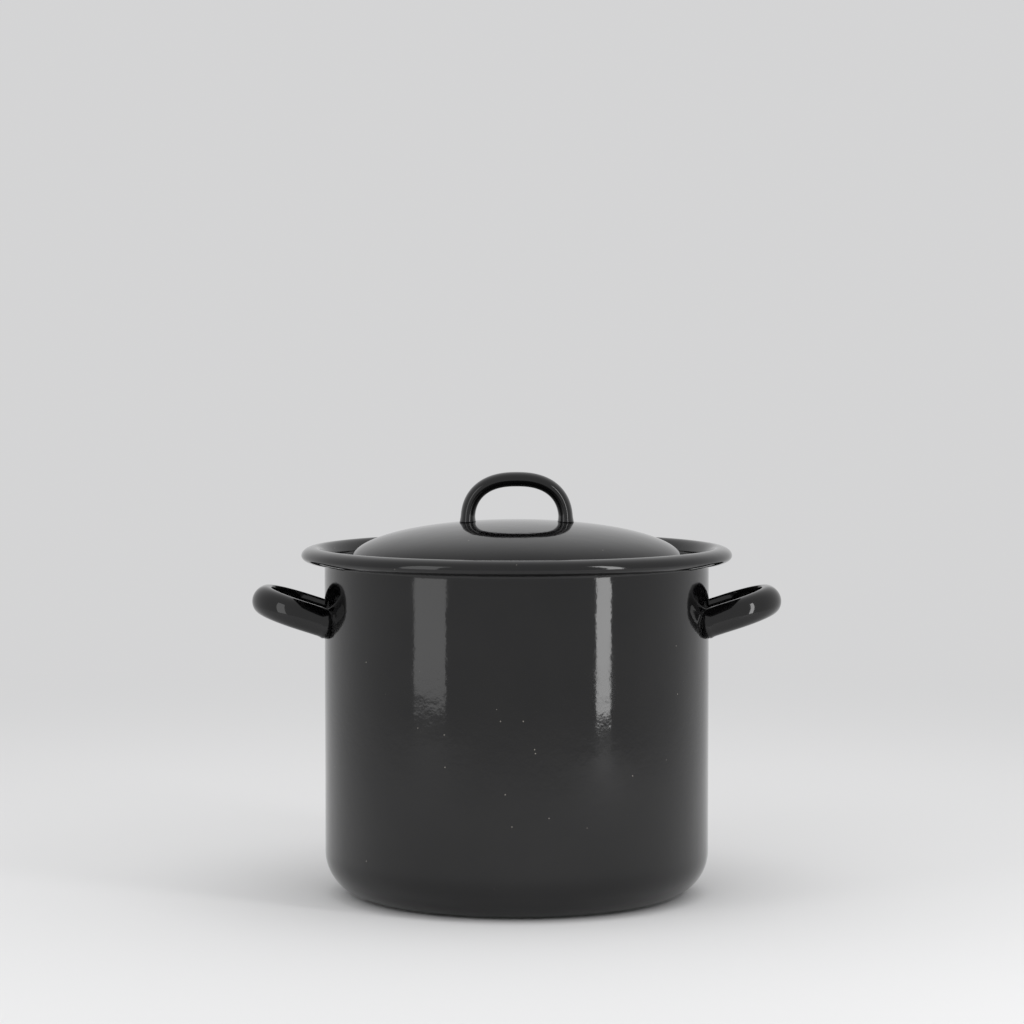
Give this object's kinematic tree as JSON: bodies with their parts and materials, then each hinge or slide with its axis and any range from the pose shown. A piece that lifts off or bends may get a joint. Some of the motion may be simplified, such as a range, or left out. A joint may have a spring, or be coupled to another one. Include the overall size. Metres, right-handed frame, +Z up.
{
  "type": "water bath canner",
  "caption": "Deep enamelled canning pot with looped side handles, a sunk domed lid with a bow handle, and a lift-out wire jar rack.",
  "frame": {"origin": "centre of the pot's base, on the surface it stands on", "axes": "+Z up through the pot and the lid handle; +X towards the right side handle; +Y to the back"},
  "size_m": [0.2778, 0.2268, 0.2227],
  "materials": {
    "black_enamel": "glossy black vitreous enamel on pressed steel, faint orange-peel waviness",
    "bright_wire": "bright plated steel wire, slightly dulled by hot water"
  },
  "bodies": {
    "pot": {"pot_body": "black_enamel", "side_handle_left": "black_enamel", "side_handle_right": "black_enamel"},
    "rack": {"rack_base_ring": "bright_wire", "rack_top_ring": "bright_wire", "rack_base_wire_1": "bright_wire", "rack_base_wire_2": "bright_wire", "rack_base_wire_3": "bright_wire", "rack_base_wire_4": "bright_wire", "rack_base_wire_5": "bright_wire", "rack_base_wire_6": "bright_wire", "rack_foot_wire_left": "bright_wire", "rack_foot_wire_right": "bright_wire", "rack_upright_1": "bright_wire", "rack_upright_2": "bright_wire", "rack_upright_3": "bright_wire", "rack_upright_4": "bright_wire", "rack_upright_5": "bright_wire", "rack_upright_6": "bright_wire", "rack_upright_7": "bright_wire", "rack_upright_8": "bright_wire", "rack_divider_wire_x": "bright_wire", "rack_divider_wire_y": "bright_wire", "pivot_eye_left_front": "bright_wire", "pivot_eye_left_back": "bright_wire", "pivot_eye_right_front": "bright_wire", "pivot_eye_right_back": "bright_wire"},
    "lid": {"lid_shell": "black_enamel", "lid_handle": "black_enamel"},
    "bail_left": {"bail_left": "bright_wire"},
    "bail_right": {"bail_right": "bright_wire"}
  },
  "joints": [
    {"name": "rack_lift", "type": "slide", "parent": "pot", "child": "rack", "axis": [0, 0, 1], "range_m": [0, 0.19]},
    {"name": "lid_lift", "type": "slide", "parent": "rack", "child": "lid", "axis": [0, 0, 1], "range_m": [0, 0.12]},
    {"name": "bail_left_fold", "type": "hinge", "parent": "rack", "child": "bail_left", "pos_m": [-0.07, 0, 0.0867], "axis": [0, 1, 0], "range_deg": [0, 90]},
    {"name": "bail_right_fold", "type": "hinge", "parent": "rack", "child": "bail_right", "pos_m": [0.07, 0, 0.0867], "axis": [0, -1, 0], "range_deg": [0, 90]}
  ]
}
